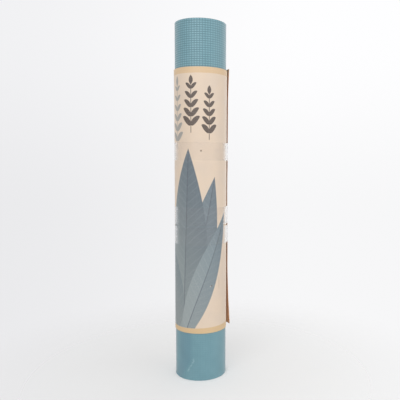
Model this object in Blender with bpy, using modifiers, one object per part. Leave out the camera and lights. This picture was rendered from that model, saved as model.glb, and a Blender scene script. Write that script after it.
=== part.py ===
"""A rolled exercise mat standing on its end, in a card sleeve held by clear tape.

Metres, +Z up. The origin is on the roll's axis at its foot, and the front faces -Y.
Angles are counted from +X towards +Y. Every sheet is wound clockwise, seen from above.
"""

from math import acos, atan2, ceil, cos, pi, radians, sin, sqrt, tau

import bpy

# Rules for every sheet
TURN_STEPS = 60
STEP = tau / TURN_STEPS
FIT_GAP = 0.0003              # air between two sheets that lie on each other

# The mat, one sheet of foam
MAT_WIDTH = 0.610             # across the sheet, so it is the height of the standing roll
MAT_LENGTH = 1.730
MAT_THICKNESS = 0.0031
CORE_RADIUS = 0.0075          # open middle that the first turn goes round
MAT_END_ANGLE = radians(105)  # the outer end lies at the back
MAT_PITCH = MAT_THICKNESS + FIT_GAP

# The sleeve, one sheet of card wrapped a little more than once round the roll
SLEEVE_HEIGHT = 0.4485
SLEEVE_FOOT = 0.083           # its lower edge, above the foot of the roll
CARD_THICKNESS = 0.00045
CARD_OVERLAP = 0.042
FREE_END_ANGLE = radians(4)   # the outer end stops beside the right edge of the front
FREE_LENGTH = 0.056           # the stretch before the free end that can leave the roll
FREE_LIFT = 0.0070            # how far the free end springs out at the sleeve's foot
CORNER_RISE = 0.006           # how far the top edge climbs on its way to the free end
RISE_START_ANGLE = pi         # where that climb starts, at the left of the front
SLEEVE_SLACK = 0.0008         # extra air between the card and the roll at the sleeve's top

# The tape, three clear loops over the sleeve, each stuck down over its own start
TAPE_THICKNESS = 0.0001
TAPE_WIDTH = 0.030
TAPE_OVERLAP = 0.028
TAPE_START_ANGLE = radians(150)
TAPE_SPACING = 0.0035         # between the two lower loops
UPPER_TAPE_HEIGHT = 0.310     # middle of the loop, above the foot of the sleeve
MIDDLE_TAPE_HEIGHT = 0.200
LOWER_TAPE_HEIGHT = MIDDLE_TAPE_HEIGHT - TAPE_WIDTH - TAPE_SPACING

# How the card stands at each height: where the row lies as a share of its stretch, then
# its shares of the slack, of the free end's lift and of the corner's rise
FOOT_STRETCH_SHARES = (
    (0.0, 0.0, 1.0, 0.0),
    (0.3, 0.0, 0.59, 0.0),
    (0.65, 0.0, 0.27, 0.0),
    (1.0, 0.0, 0.3, 0.0),
)
MIDDLE_STRETCH_SHARES = (
    (0.0, 0.0, 0.21, 0.0),
    (0.5, 0.1, 0.21, 0.0),
    (1.0, 0.2, 0.33, 0.0),
)
TOP_STRETCH_SHARES = (
    (0.0, 0.2, 0.36, 0.0),
    (0.65, 0.6, 0.34, 0.0),
    (1.0, 1.0, 0.57, 1.0),
)


def coil_sweep():
    """Angle that the whole mat is wound through, from its length along the middle."""
    first = CORE_RADIUS + MAT_THICKNESS / 2
    return (sqrt(first ** 2 + MAT_PITCH * MAT_LENGTH / pi) - first) * tau / MAT_PITCH


def coil_radius(sweep):
    """Radius of the sheet's middle once it has been wound through an angle."""
    return CORE_RADIUS + MAT_THICKNESS / 2 + MAT_PITCH * sweep / tau


MAT_SWEEP = coil_sweep()
ROLL_RADIUS = coil_radius(MAT_SWEEP) + MAT_THICKNESS / 2
# Past the mat's end a taut sheet runs straight from the corner to the turn below it
BRIDGE_RADIUS = ROLL_RADIUS - MAT_PITCH
BRIDGE_ANGLE = acos(BRIDGE_RADIUS / ROLL_RADIUS)
CARD_PITCH = CARD_THICKNESS + FIT_GAP


def around(radius, angle):
    return (radius * cos(angle), radius * sin(angle))


def mat_path():
    """Middle of the rolled mat, from the outer end inwards, with the same steps each turn."""
    count = int(MAT_SWEEP / STEP)
    sweeps = [MAT_SWEEP - STEP * i for i in range(count + 1)]
    if sweeps[-1] > STEP / 2:
        sweeps.append(0)
    return [around(coil_radius(s), MAT_END_ANGLE + MAT_SWEEP - s) for s in sweeps]


def taut_radius(angle):
    """Outside of the roll for a sheet drawn tight over it and over the mat's end."""
    surface = ROLL_RADIUS - MAT_PITCH * ((angle - MAT_END_ANGLE) % tau) / tau
    past_end = (MAT_END_ANGLE - angle) % tau
    if past_end < BRIDGE_ANGLE:
        return max(surface, BRIDGE_RADIUS / cos(BRIDGE_ANGLE - past_end))
    return surface


def eased(share):
    """Nothing below 0, all above 1 and a smooth rise between."""
    share = min(max(share, 0), 1)
    return share * share * (3 - 2 * share)


def card_angles():
    """Angles from the card's inner end to its free end, in line with the mat's steps."""
    start = FREE_END_ANGLE + CARD_OVERLAP / ROLL_RADIUS + tau
    offset = (start - MAT_END_ANGLE) % STEP
    count = int((start - FREE_END_ANGLE - offset) / STEP)
    steps = [start - offset - STEP * i for i in range(count + 1)]
    inner = [a for a in steps if start - a > STEP / 3 and a - FREE_END_ANGLE > STEP / 3]
    return [start] + inner + [FREE_END_ANGLE]


def card_row(height, slack, lift, rise):
    """Middle of the card along one row, as radius, angle and height from end to end."""
    angles = card_angles()
    free_angle = FREE_LENGTH / ROLL_RADIUS
    row = []
    for angle in angles:
        # The last turn climbs over the inner end before it reaches it
        before_end = (angles[0] - tau) - angle
        climb = CARD_PITCH * eased(1 + before_end / BRIDGE_ANGLE)
        free = max(0, 1 - (angle - FREE_END_ANGLE) / free_angle)
        radius = taut_radius(angle) + FIT_GAP + CARD_THICKNESS / 2 + slack + climb
        # A lifted stretch keeps its length, so its end draws back
        drawn_back = lift / ROLL_RADIUS * free_angle / 3 * free ** 3
        risen = rise * eased((RISE_START_ANGLE - angle) / (RISE_START_ANGLE - FREE_END_ANGLE))
        row.append((radius + lift * free ** 2, angle + drawn_back, height + risen))
    return row


def card_rows():
    """Heights above the sleeve's foot, each with its row."""
    half = TAPE_WIDTH / 2
    stretches = (
        (0, LOWER_TAPE_HEIGHT - half, FOOT_STRETCH_SHARES),
        (MIDDLE_TAPE_HEIGHT + half, UPPER_TAPE_HEIGHT - half, MIDDLE_STRETCH_SHARES),
        (UPPER_TAPE_HEIGHT + half, SLEEVE_HEIGHT, TOP_STRETCH_SHARES),
    )
    rows = []
    for low, high, shares in stretches:
        for place, slack, lift, rise in shares:
            height = low + (high - low) * place
            row = card_row(height, slack * SLEEVE_SLACK, lift * FREE_LIFT, rise * CORNER_RISE)
            rows.append((height, row))
    return rows


def taut_loop(points):
    """Convex outline of flat points, counter-clockwise: the line of a loop drawn tight."""
    ordered = sorted(set(points))

    def turns_left(a, b, c):
        return (b[0] - a[0]) * (c[1] - a[1]) - (b[1] - a[1]) * (c[0] - a[0]) > 0

    def half_outline(line):
        kept = []
        for point in line:
            while len(kept) > 1 and not turns_left(kept[-2], kept[-1], point):
                kept.pop()
            kept.append(point)
        return kept[:-1]

    return half_outline(ordered) + half_outline(ordered[::-1])


def pushed_out(loop, distance):
    """The loop moved outwards by a distance square to its sides."""
    moved = []
    for before, point, after in zip(loop[-1:] + loop[:-1], loop, loop[1:] + loop[:1]):
        normals = []
        for start, end in ((before, point), (point, after)):
            run = (end[0] - start[0], end[1] - start[1])
            length = sqrt(run[0] ** 2 + run[1] ** 2)
            normals.append((run[1] / length, -run[0] / length))
        (ax, ay), (bx, by) = normals
        spread = 1 + ax * bx + ay * by
        moved.append((point[0] + distance * (ax + bx) / spread,
                      point[1] + distance * (ay + by) / spread))
    return moved


def tape_path(height):
    """Middle of a clear loop drawn tight over the card at a height and over its own start."""
    rows = card_rows()
    below = max(row_height for row_height, row in rows if row_height < height)
    above = min(row_height for row_height, row in rows if row_height > height)
    outside = []
    for row_height, row in rows:
        if below <= row_height <= above:
            outside += [around(r + CARD_THICKNESS / 2, a) for r, a, z in row]
    loop = taut_loop(outside)

    def from_start(i):
        x, y = loop[i]
        return abs(atan2(y, x) - TAPE_START_ANGLE)

    first = min(range(len(loop)), key=from_start)
    loop = loop[first:] + loop[:first]
    under = pushed_out(loop, FIT_GAP + TAPE_THICKNESS / 2)
    over = pushed_out(loop, FIT_GAP * 2 + TAPE_THICKNESS * 3 / 2)
    overlapped = ceil(TAPE_OVERLAP / (ROLL_RADIUS * STEP))
    return under + over[:overlapped + 1]


def plain_material(name, colour, roughness, alpha=1.0):
    """A Principled material, from an sRGB colour of 0 to 255."""
    material = bpy.data.materials.new(name)
    material.use_nodes = True
    shader = material.node_tree.nodes["Principled BSDF"]
    linear = [((c / 255 + 0.055) / 1.055) ** 2.4 for c in colour]
    shader.inputs["Base Color"].default_value = (*linear, 1.0)
    shader.inputs["Roughness"].default_value = roughness
    shader.inputs["Metallic"].default_value = 0.0
    shader.inputs["Alpha"].default_value = alpha
    return material


def add_object(name, data, material, parent, collection, height):
    """An object at a height above its parent."""
    data.materials.append(material)
    item = bpy.data.objects.new(name, data)
    collection.objects.link(item)
    item.parent = parent
    item.location.z = height
    return item


def thicken(item, thickness):
    """Make a closed solid of an open sheet, half the thickness on each side."""
    solidify = item.modifiers.new("thickness", "SOLIDIFY")
    solidify.thickness = thickness
    solidify.offset = 0
    solidify.use_even_offset = True


def add_band(name, path, width, thickness, material, parent, collection, foot):
    """A sheet that stands along a flat path: a ribbon curve with a thickness."""
    curve = bpy.data.curves.new(name, "CURVE")
    curve.dimensions = "2D"
    curve.fill_mode = "NONE"
    curve.extrude = width / 2
    spline = curve.splines.new("POLY")
    spline.points.add(len(path) - 1)
    for point, (x, y) in zip(spline.points, path):
        point.co = (x, y, 0, 1)
    item = add_object(name, curve, material, parent, collection, foot + width / 2)
    thicken(item, thickness)
    return item


def add_sleeve(material, parent, collection):
    """The card, lofted through its rows, with a thickness."""
    points = []
    for height, row in card_rows():
        points += [(*around(radius, angle), z) for radius, angle, z in row]
    across = len(card_angles())
    up = len(points) // across
    faces = []
    for i in range(up - 1):
        for j in range(across - 1):
            corner = i * across + j
            faces.append((corner, corner + across, corner + across + 1, corner + 1))
    mesh = bpy.data.meshes.new("sleeve")
    mesh.from_pydata(points, [], faces)
    mesh.shade_smooth()
    item = add_object("sleeve", mesh, material, parent, collection, 0)
    thicken(item, CARD_THICKNESS)
    return item


def add_empty(name, collection, height, parent=None):
    item = bpy.data.objects.new(name, None)
    item.empty_display_size = CORE_RADIUS
    collection.objects.link(item)
    item.parent = parent
    item.location.z = height
    return item


def build():
    for item in list(bpy.data.objects):
        bpy.data.objects.remove(item, do_unlink=True)
    collection = bpy.data.collections.new("exercise_mat")
    bpy.context.scene.collection.children.link(collection)

    foam = plain_material("mat_foam", (122, 155, 165), 0.75)
    card = plain_material("sleeve_card", (222, 205, 188), 0.6)
    film = plain_material("tape_film", (240, 242, 243), 0.15, alpha=0.3)

    # The mat stands still, and the sleeve with its tape slides along the roll's axis
    roll = add_empty("roll_axis", collection, 0)
    slide = add_empty("sleeve_slide", collection, SLEEVE_FOOT, roll)
    add_band("mat", mat_path(), MAT_WIDTH, MAT_THICKNESS, foam, roll, collection, 0)
    add_sleeve(card, slide, collection)
    tapes = (
        ("tape_upper", UPPER_TAPE_HEIGHT),
        ("tape_middle", MIDDLE_TAPE_HEIGHT),
        ("tape_lower", LOWER_TAPE_HEIGHT),
    )
    for name, height in tapes:
        add_band(name, tape_path(height), TAPE_WIDTH, TAPE_THICKNESS, film, slide, collection,
                 height - TAPE_WIDTH / 2)
    bpy.context.view_layer.update()


build()
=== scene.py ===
"""Looks for a rolled exercise mat in its card sleeve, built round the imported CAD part.

Metres, +Z up, in the CAD's frame. The front faces -Y. Angles are counted from +X towards +Y,
and each sheet's flat map has zero at the middle of the front and grows towards +X.
"""

from math import acos, atan2, cos, floor, pi, radians, sin, sqrt, tau

import bpy
import numpy as np
from mathutils import Matrix, Vector, noise


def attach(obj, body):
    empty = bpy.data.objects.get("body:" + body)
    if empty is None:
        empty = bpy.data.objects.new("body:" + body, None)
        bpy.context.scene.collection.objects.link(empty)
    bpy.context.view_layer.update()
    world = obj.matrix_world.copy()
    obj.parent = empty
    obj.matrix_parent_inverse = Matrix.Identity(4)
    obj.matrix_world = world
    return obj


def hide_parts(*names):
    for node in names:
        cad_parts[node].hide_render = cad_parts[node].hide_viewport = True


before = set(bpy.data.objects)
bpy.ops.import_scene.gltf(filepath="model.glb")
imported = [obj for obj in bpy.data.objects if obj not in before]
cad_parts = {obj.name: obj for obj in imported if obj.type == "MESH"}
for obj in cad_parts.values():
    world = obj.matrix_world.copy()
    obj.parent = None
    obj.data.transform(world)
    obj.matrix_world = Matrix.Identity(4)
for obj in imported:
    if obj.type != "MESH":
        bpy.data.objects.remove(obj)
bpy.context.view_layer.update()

# Sizes that the CAD part has too
FIT_GAP = 0.0003
MAT_WIDTH = 0.610
MAT_LENGTH = 1.730
MAT_THICKNESS = 0.0031
CORE_RADIUS = 0.0075
MAT_END_ANGLE = radians(105)
MAT_PITCH = MAT_THICKNESS + FIT_GAP
SLEEVE_HEIGHT = 0.4485
SLEEVE_FOOT = 0.083
CARD_THICKNESS = 0.00045
CARD_OVERLAP = 0.042
FREE_END_ANGLE = radians(4)
FREE_LENGTH = 0.056
FREE_LIFT = 0.0070
CORNER_RISE = 0.006
SLEEVE_SLACK = 0.0008
TAPE_WIDTH = 0.030
TAPE_OVERLAP = 0.028
TAPE_START_ANGLE = radians(150)
TAPE_HEIGHTS = {"upper": 0.310, "middle": 0.200, "lower": 0.1665}
# The card's three stretches between the tapes, as heights above its foot. Each row has its
# place in the stretch and its shares of the slack, of the free end's lift and of the
# corner's rise. The lifts differ from the CAD's by up to 0.6 mm, where the photo shows it
CARD_STRETCHES = (
    (0, 0.1515, ((0.0, 0.0, 1.0, 0.0), (0.3, 0.0, 0.59, 0.0), (0.65, 0.0, 0.32, 0.0),
                 (1.0, 0.0, 0.32, 0.0))),
    (0.215, 0.295, ((0.0, 0.0, 0.22, 0.0), (0.5, 0.1, 0.2, 0.0), (1.0, 0.2, 0.27, 0.0))),
    (0.325, SLEEVE_HEIGHT, ((0.0, 0.2, 0.27, 0.0), (0.65, 0.6, 0.28, 0.0), (1.0, 1.0, 0.5, 1.0))),
)
CARD_STANCE = [
    (low + (high - low) * place, slack, lift, rise)
    for low, high, rows in CARD_STRETCHES for place, slack, lift, rise in rows
]
FRONT_ANGLE = radians(270)

# Sizes that only the looks have
CELL_WIDTH = 0.0044       # pitch of the pressed grid in the foam
CELL_HEIGHT = 0.00364
GRID_DEPTH = 0.00012
END_ROUNDING = 0.0004     # of the sheet's outer end
CREASE_OFFSET = 0.0145    # how far left of the front the foam's crease runs
CREASE_BEND = 0.034       # below this height it leans out to the left
CREASE_SLANT = 0.57
FILM_THICKNESS = 0.00006
FILM_GAP = 0.00008
FREE_RUN = 0.004          # tape that is straight for longer than this runs free of the card


# Rolled and wrapped sheets

def coil_radius(sweep):
    return CORE_RADIUS + MAT_THICKNESS / 2 + MAT_PITCH * sweep / tau


def coil_length(sweep):
    """Length of sheet that has been wound once the coil has turned through an angle."""
    return (CORE_RADIUS + MAT_THICKNESS / 2) * sweep + MAT_PITCH * sweep ** 2 / (2 * tau)


def coil_sweep(length):
    first = CORE_RADIUS + MAT_THICKNESS / 2
    return (sqrt(first ** 2 + MAT_PITCH * length / pi) - first) * tau / MAT_PITCH


MAT_SWEEP = coil_sweep(MAT_LENGTH)
ROLL_RADIUS = coil_radius(MAT_SWEEP) + MAT_THICKNESS / 2
BRIDGE_RADIUS = ROLL_RADIUS - MAT_PITCH
BRIDGE_ANGLE = acos(BRIDGE_RADIUS / ROLL_RADIUS)
# Length of sheet between the mat's outer end and the middle of the front
END_TO_FRONT = MAT_LENGTH - coil_length(MAT_SWEEP - (FRONT_ANGLE - MAT_END_ANGLE))
# The card runs from its free end, past a stretch that stands off, on to its inner end
FREE_STRETCH = FREE_LENGTH / ROLL_RADIUS
INNER_END_ANGLE = FREE_END_ANGLE + CARD_OVERLAP / ROLL_RADIUS + tau


def eased(share):
    share = min(max(share, 0), 1)
    return share * share * (3 - 2 * share)


def taut_radius(angle):
    """Outside of the roll for a sheet drawn tight over it and over the mat's end."""
    surface = ROLL_RADIUS - MAT_PITCH * ((angle - MAT_END_ANGLE) % tau) / tau
    past_end = (MAT_END_ANGLE - angle) % tau
    if past_end < BRIDGE_ANGLE:
        return max(surface, BRIDGE_RADIUS / cos(BRIDGE_ANGLE - past_end))
    return surface


def wave(*place):
    """Smooth noise between -1 and 1 at a place."""
    return noise.noise(Vector(place))


# Meshes

def add_piece(name, points, faces, flat, slots, materials, body, sharp=40):
    """A smooth-shaded mesh on a body, with a flat map in metres given for each vertex."""
    mesh = bpy.data.meshes.new(name)
    mesh.from_pydata([tuple(p) for p in points], [], faces)
    corners = np.zeros(len(mesh.loops), dtype=np.int32)
    mesh.loops.foreach_get("vertex_index", corners)
    layer = mesh.uv_layers.new(name="flat")
    layer.uv.foreach_set("vector", np.asarray(flat, dtype=np.float32)[corners].ravel())
    mesh.polygons.foreach_set("material_index", np.asarray(slots, dtype=np.int32))
    mesh.shade_smooth()
    mesh.set_sharp_from_angle(angle=radians(sharp))
    for material in materials:
        mesh.materials.append(material)
    piece = bpy.data.objects.new(name, mesh)
    bpy.context.scene.collection.objects.link(piece)
    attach(piece, body)
    return piece


def thin_solid(grid, thickness):
    """Points, faces and slots of a closed sheet round a grid of points.

    The first half of the points is the outside. Slot 0 is the outside and 1 all the rest.
    """
    rows, columns = grid.shape[:2]
    along = np.gradient(grid, axis=1)
    up = np.gradient(grid, axis=0)
    normal = np.cross(along, up)
    normal /= np.linalg.norm(normal, axis=2, keepdims=True)
    points = np.concatenate([
        (grid + normal * thickness / 2).reshape(-1, 3),
        (grid - normal * thickness / 2).reshape(-1, 3),
    ])
    count = rows * columns
    faces, slots = [], []
    for i in range(rows - 1):
        for j in range(columns - 1):
            a = i * columns + j
            quad = (a, a + 1, a + columns + 1, a + columns)
            faces.append(quad)
            faces.append(tuple(count + c for c in reversed(quad)))
            slots += [0, 1]
    rim = list(range(columns))
    rim += [i * columns + columns - 1 for i in range(1, rows)]
    rim += [(rows - 1) * columns + j for j in range(columns - 2, -1, -1)]
    rim += [i * columns for i in range(rows - 2, 0, -1)]
    for a, b in zip(rim, rim[1:] + rim[:1]):
        faces.append((b, a, count + a, count + b))
        slots.append(1)
    return points, faces, slots


def crease_side(across, below_bend):
    """How far to the right of the foam's crease a place lies."""
    return across + CREASE_OFFSET + below_bend * CREASE_SLANT


def crease_depth(across, up):
    """Depth of a soft crease that runs up from the foot at the left of the front.

    It is a low ridge between a wide hollow on its left and a shallower one on its right.
    """
    beside = crease_side(across, max(0, CREASE_BEND - up))
    left = eased((beside + 0.04) / 0.024) * eased(-beside / 0.014)
    right = eased(beside / 0.005) * eased((0.022 - beside) / 0.017)
    strength = (0.25 + 0.75 * eased((0.05 - up) / 0.02)) * eased((0.16 - up) / 0.1)
    return (0.0014 * left + 0.0007 * right) * strength


def build_mat(materials):
    """The rolled sheet as one closed body, with soft cut edges and the grid on its outer turn.

    Slot 0 is the sheet's two faces and 1 its cut edges.
    """
    half = MAT_THICKNESS / 2
    # Stations from the outer end inwards, as lengths from the end, and whether each has the grid.
    # Those with the grid lie in its grooves and on its crowns by turns, counted from the front
    half_cell = CELL_WIDTH / 2
    outer_turn = MAT_LENGTH - coil_length(MAT_SWEEP - tau * 1.02)
    stations = [(0.0, True), (END_ROUNDING, True)]
    number = floor(-END_TO_FRONT / half_cell) + 1
    while number * half_cell + END_TO_FRONT < outer_turn:
        place = number * half_cell + END_TO_FRONT
        if place > 2 * END_ROUNDING:
            stations.append((place, True))
        number += 1
    place = stations[-1][0] + CELL_WIDTH
    while place < MAT_LENGTH - 0.001:
        stations.append((place, False))
        part_of_turn = coil_radius(coil_sweep(MAT_LENGTH - place)) * tau / 72
        place += max(part_of_turn, 0.0012)
    stations.append((MAT_LENGTH, False))

    # The soft corner of a cut edge: offsets from the sheet's middle and heights from its rim
    edge = ((half, 0.0007), (half - 0.00012, 0.00025), (half - 0.0005, 0.0))
    half_row = CELL_HEIGHT / 2
    fine_rows = np.arange(half_row, MAT_WIDTH - half_row / 2, half_row)
    plain_rows = (fine_rows[-1], fine_rows[0])
    points, flat, rings, cut = [], [], [], set()
    for place, fine in stations:
        sweep = coil_sweep(MAT_LENGTH - place)
        angle = MAT_END_ANGLE + MAT_SWEEP - sweep
        radius = coil_radius(sweep)
        # A squashed core, and edges that don't quite line up
        radius += 0.0007 * cos(2 * angle + 0.6) * np.exp(-radius / 0.012)
        lower = 0.0009 * eased((place - 0.1) / 0.3) * (0.5 + 0.5 * wave(place * 9, 3.1, 0))
        upper = 0.0013 * eased((place - 0.05) / 0.3) * (0.5 + 0.5 * wave(place * 7, 8.4, 0))
        squeeze = 0.8 if place == 0 else 1.0
        across = place - END_TO_FRONT
        in_groove = round(across / half_cell) % 2 == 1
        section = [(half, z) for z in (fine_rows[::-1] if fine else plain_rows)]
        outside_count = len(section)
        section += [(offset, lower + z) for offset, z in edge]
        section += [(-offset, lower + z) for offset, z in reversed(edge)]
        section += [(-half, MAT_WIDTH * share) for share in (0.02, 0.25, 0.5, 0.75, 0.98)]
        section += [(-offset, MAT_WIDTH - upper - z) for offset, z in edge]
        section += [(offset, MAT_WIDTH - upper - z) for offset, z in reversed(edge)]
        ring = []
        edge_count = 2 * len(edge)
        for i, (offset, z) in enumerate(section):
            out = offset * squeeze
            if fine and i < outside_count:
                out -= GRID_DEPTH * (in_groove or round(z / half_row) % 2 == 1)
                out -= 0.00018 * (0.5 + 0.5 * wave(across * 14, z * 9, 5))
                out -= crease_depth(across, z)
            if 0 <= i - outside_count < edge_count or i >= len(section) - edge_count:
                cut.add(len(points))
            ring.append(len(points))
            points.append(((radius + out) * cos(angle), (radius + out) * sin(angle), z))
            flat.append((across, z))
        rings.append((ring, outside_count))

    faces = [tuple(reversed(rings[0][0])), tuple(rings[-1][0])]
    slots = [1, 1]
    for (ring, count), (following, next_count) in zip(rings, rings[1:]):
        rest, next_rest = ring[count - 1:] + ring[:1], following[next_count - 1:] + following[:1]
        if count == next_count:
            rest, next_rest = ring + ring[:1], following + following[:1]
        else:
            faces.append(tuple(ring[:count]) + tuple(reversed(following[:next_count])))
            slots.append(0)
        for a, b, c, d in zip(rest, rest[1:], next_rest[1:], next_rest):
            faces.append((a, b, c, d))
            slots.append(int(a in cut and b in cut))
    piece = add_piece("mat_roll", points, faces, flat, slots, materials, "roll")
    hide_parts("mat")
    return piece


def card_stance(height):
    """Slack, lift and rise at a height above the sleeve's foot, smoothed between the rows."""
    heights, slacks, lifts, rises = zip(*CARD_STANCE)
    reach = min(height, SLEEVE_HEIGHT - height, 0.012)
    near = height + np.linspace(-reach, reach, 9)
    slack = np.interp(near, heights, slacks).mean() * SLEEVE_SLACK
    lift = np.interp(near, heights, lifts).mean() * FREE_LIFT
    rise = np.interp(near, heights, rises).mean() * CORNER_RISE
    return slack, lift, rise


def card_point(angle, height):
    """Radius, angle and height of the card's middle."""
    slack, lift, rise = card_stance(height)
    before_end = INNER_END_ANGLE - tau - angle
    climb = (CARD_THICKNESS + FIT_GAP) * eased(1 + before_end / BRIDGE_ANGLE)
    free = max(0, 1 - (angle - FREE_END_ANGLE) / FREE_STRETCH)
    radius = taut_radius(angle) + FIT_GAP + CARD_THICKNESS / 2 + slack + climb
    radius += 0.00012 * (0.5 + 0.5 * wave(angle * 1.1, height * 11, 2)) * (free == 0)
    drawn_back = lift / ROLL_RADIUS * FREE_STRETCH / 3 * free ** 3
    raised = height + rise * eased((pi - angle) / (pi - FREE_END_ANGLE))
    return radius + lift * free ** 2, angle + drawn_back, raised


def card_grid():
    """Points of the card's middle, rows from its foot up, columns from the free end on."""
    angles = np.concatenate([
        np.linspace(FREE_END_ANGLE, FREE_END_ANGLE + FREE_STRETCH, 40, endpoint=False),
        np.linspace(FREE_END_ANGLE + FREE_STRETCH, INNER_END_ANGLE, 240),
    ])
    heights = np.linspace(0, SLEEVE_HEIGHT, 76)
    grid = np.zeros((len(heights), len(angles), 3))
    for i, height in enumerate(heights):
        for j, angle in enumerate(angles):
            radius, turned, raised = card_point(angle, height)
            grid[i, j] = (radius * cos(turned), radius * sin(turned), raised + SLEEVE_FOOT)
    across = (angles - FRONT_ANGLE) * (ROLL_RADIUS + FIT_GAP)
    flat = np.stack(np.meshgrid(across, heights), axis=2).reshape(-1, 2)
    return grid, np.concatenate([flat, flat])


def build_sleeve(grid, flat, materials):
    points, faces, slots = thin_solid(grid, CARD_THICKNESS)
    piece = add_piece("card_sleeve", points, faces, flat, slots, materials, "wrap", 30)
    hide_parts("sleeve")
    return piece


def taut_loop(points):
    """Convex outline of flat points, counter-clockwise: the line of a loop drawn tight."""
    ordered = sorted(set(points))

    def turns_left(a, b, c):
        return (b[0] - a[0]) * (c[1] - a[1]) - (b[1] - a[1]) * (c[0] - a[0]) > 0

    def half_outline(line):
        kept = []
        for point in line:
            while len(kept) > 1 and not turns_left(kept[-2], kept[-1], point):
                kept.pop()
            kept.append(point)
        return kept[:-1]

    return half_outline(ordered) + half_outline(ordered[::-1])


def film_line(grid, height):
    """Points every 2 mm along a tape over the card, with how far each runs free of it."""
    heights = grid[:, 0, 2] - SLEEVE_FOOT
    near = np.abs(heights - height) <= TAPE_WIDTH / 2 + 0.004
    outside = grid[near].reshape(-1, 3)[:, :2]
    outside = outside * (1 + CARD_THICKNESS / 2 / np.linalg.norm(outside, axis=1, keepdims=True))
    loop = taut_loop([tuple(p) for p in outside])
    off_start = [abs(atan2(y, x) - TAPE_START_ANGLE) for x, y in loop]
    first = off_start.index(min(off_start))
    loop = np.array(loop[first:] + loop[:first + 1])
    steps = np.linalg.norm(np.diff(loop, axis=0), axis=1)
    along = np.concatenate([[0], np.cumsum(steps)])
    free_starts = along[1:-1][steps[1:] > FREE_RUN]
    places = np.concatenate([np.arange(0, along[-1], 0.002), free_starts, [along[-1]]])
    places = np.unique(np.round(places, 6))
    line = np.stack([np.interp(places, along, loop[:, k]) for k in (0, 1)], axis=1)
    step = np.clip(np.searchsorted(along, places, side="right") - 1, 0, len(steps) - 1)
    return places, line, np.where(steps[step] > FREE_RUN, 1.0, 0.0)


def build_film(name, grid, height, material):
    places, line, free = film_line(grid, height)
    overlapped = places <= TAPE_OVERLAP
    layer = np.concatenate([np.zeros(len(places) - 1), np.ones(overlapped.sum())])
    line = np.concatenate([line[:-1], line[overlapped]])
    free = np.concatenate([free[:-1], free[overlapped]])
    along = np.concatenate([places[:-1], places[-1] + places[overlapped]])
    rows = np.linspace(-TAPE_WIDTH / 2, TAPE_WIDTH / 2, 9)
    film = np.zeros((len(rows), len(line), 3))
    for i, up in enumerate(rows):
        for j, (x, y) in enumerate(line):
            # The tape's end lies over its start, and where it runs free it wrinkles a little
            out = FILM_GAP + FILM_THICKNESS * (0.5 + 1.4 * layer[j])
            out += free[j] * 0.00012 * wave(along[j] * 90, (height + up) * 60, 1)
            scale = 1 + out / sqrt(x * x + y * y)
            film[i, j] = (x * scale, y * scale, height + up + SLEEVE_FOOT)
    flat = np.stack(np.meshgrid(along, rows), axis=2).reshape(-1, 2)
    points, faces, slots = thin_solid(film, FILM_THICKNESS)
    piece = add_piece("film_" + name, points, faces, np.concatenate([flat, flat]),
                      [0] * len(slots), [material], "wrap", 30)
    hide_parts("tape_" + name)
    return piece


# Materials

def linear(red, green, blue):
    """A colour from sRGB values of 0 to 255."""
    colour = [c / 12.92 if c <= 0.04045 else ((c + 0.055) / 1.055) ** 2.4
              for c in (red / 255, green / 255, blue / 255)]
    return (*colour, 1)


class Field:
    """A number that varies over a surface, so that node sums read as plain arithmetic."""

    def __init__(self, tree, socket):
        self.tree = tree
        self.socket = socket

    def math(self, operation, *others):
        node = self.tree.nodes.new("ShaderNodeMath")
        node.operation = operation
        for socket, value in zip(node.inputs, (self, *others)):
            if isinstance(value, Field):
                self.tree.links.new(value.socket, socket)
            else:
                socket.default_value = value
        return Field(self.tree, node.outputs[0])

    def __add__(self, other):
        return self.math("ADD", other)

    def __sub__(self, other):
        return self.math("SUBTRACT", other)

    def __mul__(self, other):
        return self.math("MULTIPLY", other)

    def __abs__(self):
        return self.math("ABSOLUTE")

    def flipped(self):
        """One less this."""
        return (self * -1) + 1

    def times(self, *others):
        product = self
        for other in others:
            product = product * other
        return product

    def greatest(self, other):
        return self.math("MAXIMUM", other)

    def ramp(self, low, high):
        """0 at low, 1 at high and smooth between."""
        node = self.tree.nodes.new("ShaderNodeMapRange")
        node.interpolation_type = "SMOOTHSTEP"
        self.tree.links.new(self.socket, node.inputs["Value"])
        node.inputs["From Min"].default_value = low
        node.inputs["From Max"].default_value = high
        return Field(self.tree, node.outputs["Result"])


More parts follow.
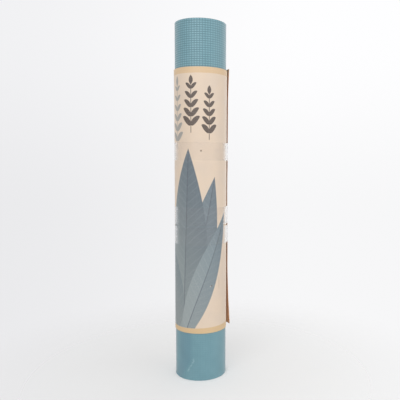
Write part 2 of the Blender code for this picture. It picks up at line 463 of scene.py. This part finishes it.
class Look:
    """A Principled material in the making, with the sheet's flat map at hand."""

    def __init__(self, name, roughness, specular=0.5):
        self.material = bpy.data.materials.new(name)
        self.material.use_nodes = True
        self.tree = self.material.node_tree
        self.shader = self.tree.nodes["Principled BSDF"]
        self.shader.inputs["Roughness"].default_value = roughness
        self.shader.inputs["Specular IOR Level"].default_value = specular
        self.map = self.tree.nodes.new("ShaderNodeUVMap")
        self.map.uv_map = "flat"
        split = self.tree.nodes.new("ShaderNodeSeparateXYZ")
        self.tree.links.new(self.map.outputs["UV"], split.inputs[0])
        self.across = Field(self.tree, split.outputs["X"])
        self.up = Field(self.tree, split.outputs["Y"])

    def grain(self, size, detail=2.0, stretch=(1, 1)):
        """Noise about a half, with features of a size in metres."""
        place = self.tree.nodes.new("ShaderNodeMapping")
        place.inputs["Scale"].default_value = (1 / stretch[0], 1 / stretch[1], 1)
        self.tree.links.new(self.map.outputs["UV"], place.inputs["Vector"])
        node = self.tree.nodes.new("ShaderNodeTexNoise")
        node.inputs["Scale"].default_value = 1 / size
        node.inputs["Detail"].default_value = detail
        self.tree.links.new(place.outputs["Vector"], node.inputs["Vector"])
        return Field(self.tree, node.outputs["Fac"])

    def blend(self, share, below, above):
        """One colour over another, each a colour or the socket of one."""
        node = self.tree.nodes.new("ShaderNodeMix")
        node.data_type = "RGBA"
        self.tree.links.new(share.socket, node.inputs[0])
        for socket, colour in ((node.inputs[6], below), (node.inputs[7], above)):
            if isinstance(colour, tuple):
                socket.default_value = colour
            else:
                self.tree.links.new(colour, socket)
        return node.outputs[2]

    def paint(self, colour):
        self.tree.links.new(colour, self.shader.inputs["Base Color"])

    def drive(self, name, field):
        self.tree.links.new(field.socket, self.shader.inputs[name])

    def relief(self, height):
        """Bump from a height in metres."""
        bump = self.tree.nodes.new("ShaderNodeBump")
        bump.inputs["Distance"].default_value = 1
        self.tree.links.new(height.socket, bump.inputs["Height"])
        self.tree.links.new(bump.outputs["Normal"], self.shader.inputs["Normal"])


def foam_look():
    """Closed-cell foam with a pressed grid, fine pores and a soft crease near the foot."""
    look = Look("mat_foam_look", 0.5, 0.65)
    look.shader.inputs["Sheen Weight"].default_value = 0.3
    look.shader.inputs["Sheen Roughness"].default_value = 0.35
    look.shader.inputs["Sheen Tint"].default_value = (1, 0.9, 0.88, 1)

    def grooves(place, cell):
        """1 in the groove between two cells, 0 over a cell's crown."""
        from_crown = abs((place * (1 / cell) + 0.5).math("FRACT") - 0.5)
        return from_crown.ramp(0.28, 0.46)

    grid = (grooves(look.across, CELL_WIDTH) * 0.75).greatest(grooves(look.up, CELL_HEIGHT))
    pores = look.grain(0.0006, 3)
    patches = look.grain(0.02, 4)
    # The pressed pattern is fainter near the foot, and on a stretch right of the front
    faded_stretch = look.across.ramp(0.006, 0.028).times(look.across.ramp(0.09, 0.06), 0.3)
    clearer = (look.up.ramp(0.05, 0.45) * 0.88 + 0.12) * faded_stretch.flipped()
    look.relief(grid.times(clearer, -0.00025) + pores * 0.00004)
    colour = look.blend(patches.ramp(0.3, 0.7), linear(116, 160, 171), linear(123, 166, 177))
    colour = look.blend(pores.ramp(0.5, 0.8) * 0.25, colour, linear(140, 172, 178))
    # Painted shade: the grooves get a darker colour, and where the pattern is fainter, near the
    # foot and on that stretch, the foam takes a flat share of it instead
    groove_shade = grid.times(clearer, 0.95) + clearer.flipped() * 0.34
    colour = look.blend(groove_shade, colour, linear(80, 118, 130))
    # Painted shade in the hollow on the crease's left, and a painted highlight along its foot
    beside = crease_side(look.across, (look.up * -1 + CREASE_BEND).greatest(0))
    # Painted shade: darker and bluer in the hollow left of the crease
    crease_shade = beside.ramp(-0.034, -0.018).times(beside.ramp(0.003, -0.008))
    crease_shade = crease_shade * look.up.ramp(0.15, 0.05)
    colour = look.blend(crease_shade * 0.28, colour, linear(84, 120, 142))
    # Painted highlight: a broken paler streak along the crease near the foot
    crease_highlight = abs(beside - 0.0014).ramp(0.0024, 0.0006)
    crease_highlight = crease_highlight.times(look.up.ramp(0.012, 0.018), look.up.ramp(0.043, 0.034))
    crease_highlight = crease_highlight * look.grain(0.005, 2).ramp(0.42, 0.56)
    colour = look.blend(crease_highlight * 0.5, colour, linear(152, 184, 192))
    look.paint(colour)
    matt = grid.times(clearer, 0.25) + clearer.flipped() * 0.08
    look.drive("Roughness", matt + patches * 0.08 + 0.33)
    return look.material


def cut_look():
    """The foam's cut edges: dull, with open pores."""
    look = Look("mat_cut_look", 0.8, 0.3)
    pores = look.grain(0.0005, 3, (1.5, 1))
    patches = look.grain(0.006, 3)
    colour = look.blend(patches.ramp(0.3, 0.7), linear(104, 143, 153), linear(115, 153, 162))
    colour = look.blend(pores.ramp(0.5, 0.75) * 0.45, colour, linear(80, 114, 124))
    look.paint(colour)
    look.relief(pores * -0.00008)
    return look.material


def sprig(look, middle, foot, pitch, pairs, reach, breadth):
    """A stem with pairs of leaves that rise outwards and get smaller upwards. 1 on the print."""
    side = abs(look.across - middle)
    along = look.up - foot - side * 0.75
    pair = (along * (1 / pitch)).math("FLOOR")
    smaller = (pair * (-0.09)) + 1
    from_axis = abs((along * (1 / pitch)).math("FRACT") - 0.5) * pitch
    share = side.math("DIVIDE", smaller * reach)
    # A leaf is widest before its middle and comes to a point
    bulge = share.math("POWER", 0.7)
    half_breadth = ((bulge * bulge.flipped()) * 4).math("POWER", 0.7).times(smaller, breadth)
    leaf = (half_breadth - from_axis).ramp(0, 0.0002)
    leaf = leaf.times(share.math("LESS_THAN", 1),
                      along.math("GREATER_THAN", 0), along.math("LESS_THAN", pitch * pairs))
    top = foot + pitch * pairs
    stem = (side * -1 + 0.0007).ramp(0, 0.0002)
    stem = stem.times(look.up.math("GREATER_THAN", foot - pitch * 0.5),
                      look.up.math("LESS_THAN", top))
    tip = (look.up - (top - pitch * 0.2)) * (1 / (pitch * 1.1))
    crown = (tip * tip.flipped()) * (4 * breadth * 0.6) - side
    crown = crown.ramp(0, 0.0002).times(tip.math("GREATER_THAN", 0), tip.math("LESS_THAN", 1))
    return leaf.greatest(stem).greatest(crown)


def large_leaf(look, below, foot, lean, length, breadth, dark, pale):
    """One large leaf with a midrib and veins, printed over the colour below."""
    dx = look.across - foot[0]
    dy = look.up - foot[1]
    along = (dx * sin(lean) + dy * cos(lean)) * (1 / length)
    side = dx * cos(lean) - dy * sin(lean)
    bulge = along.math("MAXIMUM", 0).math("POWER", 0.8)
    edge = (bulge * bulge.flipped()) * (4 * breadth) - abs(side)
    mask = edge.ramp(0, 0.0003).times(along.math("GREATER_THAN", 0), along.math("LESS_THAN", 1))
    tone = look.blend((along + side * 6).ramp(-0.1, 1.1), pale, dark)
    vein = abs(((along * length - abs(side) * 0.9) * (1 / 0.014)).math("FRACT") - 0.5)
    tone = look.blend(vein.ramp(0.035, 0.015) * 0.28, tone, linear(188, 196, 198))
    tone = look.blend(side.ramp(-0.0004, 0.0004) * 0.16, tone, linear(70, 82, 94))
    tone = look.blend(abs(side).ramp(0.0009, 0.0006) * 0.6, tone, linear(74, 82, 96))
    return look.blend(mask, below, tone)


def speck(look, middle, reach):
    """1 inside a small oval, given by its middle and by how far it reaches across and up."""
    dx = (look.across - middle[0]) * (1 / reach[0])
    dy = (look.up - middle[1]) * (1 / reach[1])
    return (dx * dx + dy * dy).ramp(1, 0.4)


def print_look():
    """The card's printed outside: cream with tan borders, leaf sprigs and large slate leaves."""
    look = Look("card_print_look", 0.45, 0.4)
    fibres = look.grain(0.0012, 4, (1, 1.6))
    mottle = look.grain(0.03, 3)
    colour = look.blend(mottle.ramp(0.3, 0.7), linear(227, 206, 184), linear(222, 203, 184))
    for foot, lean, length, breadth, dark, pale in (
        ((-0.030, -0.012), radians(11), 0.285, 0.030, (108, 122, 132), (146, 156, 157)),
        ((-0.034, -0.010), radians(2), 0.325, 0.040, (98, 112, 122), (150, 160, 160)),
        ((-0.034, -0.012), radians(21), 0.235, 0.022, (112, 130, 140), (156, 165, 166)),
        ((-0.050, 0.0), radians(-14), 0.190, 0.034, (122, 138, 144), (150, 158, 158)),
    ):
        colour = large_leaf(look, colour, foot, lean, length, breadth,
                            linear(*dark), linear(*pale))
    for place, share, ink in (
        ((-0.0175, 0.348, 0.0148, 5, 0.0155, 0.0062), 0.95, (72, 60, 56)),
        ((0.0140, 0.336, 0.0140, 5, 0.0135, 0.0059), 0.95, (72, 60, 56)),
        ((-0.048, 0.322, 0.0165, 6, 0.0145, 0.006), 0.9, (150, 150, 147)),
    ):
        colour = look.blend(sprig(look, *place) * share, colour, linear(*ink))
    # The lower border was printed a little askew
    skewed = look.up - look.across.greatest(-0.045) * 0.025
    colour = look.blend(skewed.ramp(0.0095, 0.0092), colour, linear(216, 185, 142))
    colour = look.blend(look.up.ramp(0.4383, 0.4386), colour, linear(219, 189, 151))
    colour = look.blend(fibres.ramp(0.35, 0.75) * 0.10, colour, linear(250, 242, 232))
    # Marks on the card: two specks, a paler spot beside one of them and a short darker line
    for middle, reach, share, tint in (
        ((-0.0002, 0.3107), (0.0018, 0.0016), 0.9, (118, 96, 80)),
        ((0.0189, 0.0818), (0.0014, 0.0013), 0.9, (104, 86, 74)),
        ((0.0163, 0.0807), (0.0009, 0.0009), 0.7, (236, 226, 214)),
        ((0.0343, 0.0852), (0.0007, 0.0125), 0.34, (118, 96, 80)),
    ):
        colour = look.blend(speck(look, middle, reach) * share, colour, linear(*tint))
    look.paint(colour)
    look.relief(fibres * 0.00003 + mottle * 0.0001)
    look.drive("Roughness", fibres * 0.12 + 0.42)
    return look.material


def kraft_look():
    """The card's unprinted inside and its cut edges."""
    look = Look("card_inside_look", 0.85, 0.25)
    fibres = look.grain(0.0016, 5, (1, 3))
    blotches = look.grain(0.012, 3)
    colour = look.blend(blotches.ramp(0.3, 0.7), linear(231, 186, 151), linear(220, 173, 138))
    colour = look.blend(fibres.ramp(0.45, 0.7) * 0.4, colour, linear(230, 198, 168))
    look.paint(colour)
    look.relief(fibres * 0.00006)
    return look.material


def film_look():
    """Clear tape: nearly unseen from the front, whitish and glossy at a grazing angle."""
    look = Look("clear_tape_look", 0.16, 0.5)
    look.shader.inputs["Base Color"].default_value = linear(238, 239, 241)
    weight = look.tree.nodes.new("ShaderNodeLayerWeight")
    weight.inputs["Blend"].default_value = 0.5
    grazing = Field(look.tree, weight.outputs["Facing"]).ramp(0.4, 1.0)
    streaks = look.grain(0.004, 3, (6, 1))
    half_width = TAPE_WIDTH / 2
    cut = abs(look.up).ramp(half_width - 0.0007, half_width - 0.0003)
    # Painted reflection: the tape's pale colour grows more opaque towards a grazing angle,
    # standing in for the white it reflects there; the small even share is its haze
    opacity = grazing * 0.68 + streaks.ramp(0.45, 0.75) * 0.01 + cut * 0.03 + 0.025
    look.drive("Alpha", opacity)
    look.relief(streaks * 0.00002)
    return look.material


# Stage

def build_floor():
    """A pale ground that gives way to the background further off."""
    sides = 96
    points, faces = [(0, 0, 0)], []
    for k, radius in enumerate((0.1, 0.25, 0.5, 1.0, 2.0)):
        first = len(points)
        for i in range(sides):
            angle = tau * i / sides
            points.append((radius * cos(angle), radius * sin(angle), 0))
            a, b = first + i, first + (i + 1) % sides
            faces.append((0, a, b) if k == 0 else (a - sides, a, b, b - sides))
    mesh = bpy.data.meshes.new("floor")
    mesh.from_pydata(points, [], faces)
    floor_piece = bpy.data.objects.new("floor", mesh)
    bpy.context.scene.collection.objects.link(floor_piece)

    material = bpy.data.materials.new("floor_look")
    material.use_nodes = True
    tree = material.node_tree
    shader = tree.nodes["Principled BSDF"]
    shader.inputs["Base Color"].default_value = (0.93, 0.925, 0.91, 1)
    shader.inputs["Roughness"].default_value = 0.7
    place = tree.nodes.new("ShaderNodeTexCoord")
    distance = tree.nodes.new("ShaderNodeVectorMath")
    distance.operation = "LENGTH"
    tree.links.new(place.outputs["Object"], distance.inputs[0])
    away = Field(tree, distance.outputs["Value"])
    near_foot = away.ramp(0.0505, 0.0445)
    fade = away.ramp(0.05, 0.52) * 0.58 + 0.42 - near_foot * 0.2
    clear = tree.nodes.new("ShaderNodeBsdfTransparent")
    mix = tree.nodes.new("ShaderNodeMixShader")
    tree.links.new(fade.socket, mix.inputs[0])
    tree.links.new(shader.outputs[0], mix.inputs[1])
    tree.links.new(clear.outputs[0], mix.inputs[2])
    tree.links.new(mix.outputs[0], tree.nodes["Material Output"].inputs["Surface"])
    mesh.materials.append(material)


def build_world():
    """Even studio light, and a pale background, a little brighter on the right and higher up."""
    world = bpy.data.worlds.new("studio")
    world.use_nodes = True
    bpy.context.scene.world = world
    tree = world.node_tree
    light = tree.nodes["Background"]
    light.inputs["Color"].default_value = (1, 1, 1, 1)
    light.inputs["Strength"].default_value = 0.49
    seen = tree.nodes.new("ShaderNodeBackground")
    coordinates = tree.nodes.new("ShaderNodeTexCoord")
    split = tree.nodes.new("ShaderNodeSeparateXYZ")
    tree.links.new(coordinates.outputs["Generated"], split.inputs[0])
    rightwards = Field(tree, split.outputs["X"]).ramp(-0.4, 0.22)
    tone = tree.nodes.new("ShaderNodeMix")
    tone.data_type = "RGBA"
    tone.inputs[6].default_value = linear(241, 241, 243)
    tone.inputs[7].default_value = linear(254, 254, 255)
    tree.links.new(rightwards.socket, tone.inputs[0])
    tree.links.new(tone.outputs[2], seen.inputs["Color"])
    upwards = Field(tree, split.outputs["Z"]).ramp(-0.12, 0.24) * 0.063 + 0.937
    tree.links.new(upwards.socket, seen.inputs["Strength"])
    path = tree.nodes.new("ShaderNodeLightPath")
    shown = Field(tree, path.outputs["Is Camera Ray"])
    shown = shown.greatest(Field(tree, path.outputs["Is Glossy Ray"]))
    shown = shown.greatest(Field(tree, path.outputs["Is Transmission Ray"]))
    mix = tree.nodes.new("ShaderNodeMixShader")
    tree.links.new(shown.socket, mix.inputs[0])
    tree.links.new(light.outputs[0], mix.inputs[1])
    tree.links.new(seen.outputs[0], mix.inputs[2])
    tree.links.new(mix.outputs[0], tree.nodes["World Output"].inputs["Surface"])


def build_lamp(name, place, target, width, power):
    lamp = bpy.data.lights.new(name, "AREA")
    lamp.shape = "SQUARE"
    lamp.size = width
    lamp.energy = power
    item = bpy.data.objects.new(name, lamp)
    bpy.context.scene.collection.objects.link(item)
    item.location = place
    item.rotation_euler = (Vector(target) - Vector(place)).to_track_quat("-Z", "Y").to_euler()


def build_camera():
    """The photograph's camera, found from the roll's rims and both its edges."""
    frame_pixels, focal_pixels = 400, 505.9
    yaw, pitch, roll = radians(5.526), radians(4.250), radians(0.349)
    forward = Vector((sin(yaw) * cos(pitch), cos(yaw) * cos(pitch), -sin(pitch)))
    right = Vector((cos(yaw), -sin(yaw), 0))
    up = right.cross(forward)
    tilted_right = right * cos(roll) + up * sin(roll)
    tilted_up = up * cos(roll) - right * sin(roll)
    data = bpy.data.cameras.new("camera")
    data.sensor_width = 36
    data.lens = data.sensor_width * focal_pixels / frame_pixels
    data.shift_x = -50 / frame_pixels
    camera = bpy.data.objects.new("camera", data)
    bpy.context.scene.collection.objects.link(camera)
    turn = Matrix((tilted_right, tilted_up, -forward)).transposed().to_4x4()
    camera.matrix_world = Matrix.Translation((0, -0.89243, 0.37495)) @ turn
    bpy.context.scene.camera = camera


build_camera()
build_mat([foam_look(), cut_look()])
card, card_map = card_grid()
build_sleeve(card, card_map, [print_look(), kraft_look()])
film = film_look()
for tape, tape_height in TAPE_HEIGHTS.items():
    build_film(tape, card, tape_height, film)
build_floor()
build_world()
build_lamp("key", (-0.52, -1.5, 1.1), (0, 0, 0.42), width=1.5, power=16.5)
build_lamp("fill", (1.9, -1.0, 0.7), (0, 0, 0.3), width=2.4, power=16.5)
build_lamp("rim", (1.5, 1.7, 0.6), (0, 0, 0.3), width=1.6, power=6.5)
build_lamp("back", (-1.6, 1.5, 0.7), (0, 0, 0.3), width=1.6, power=3)
bpy.context.scene.view_settings.view_transform = "Standard"
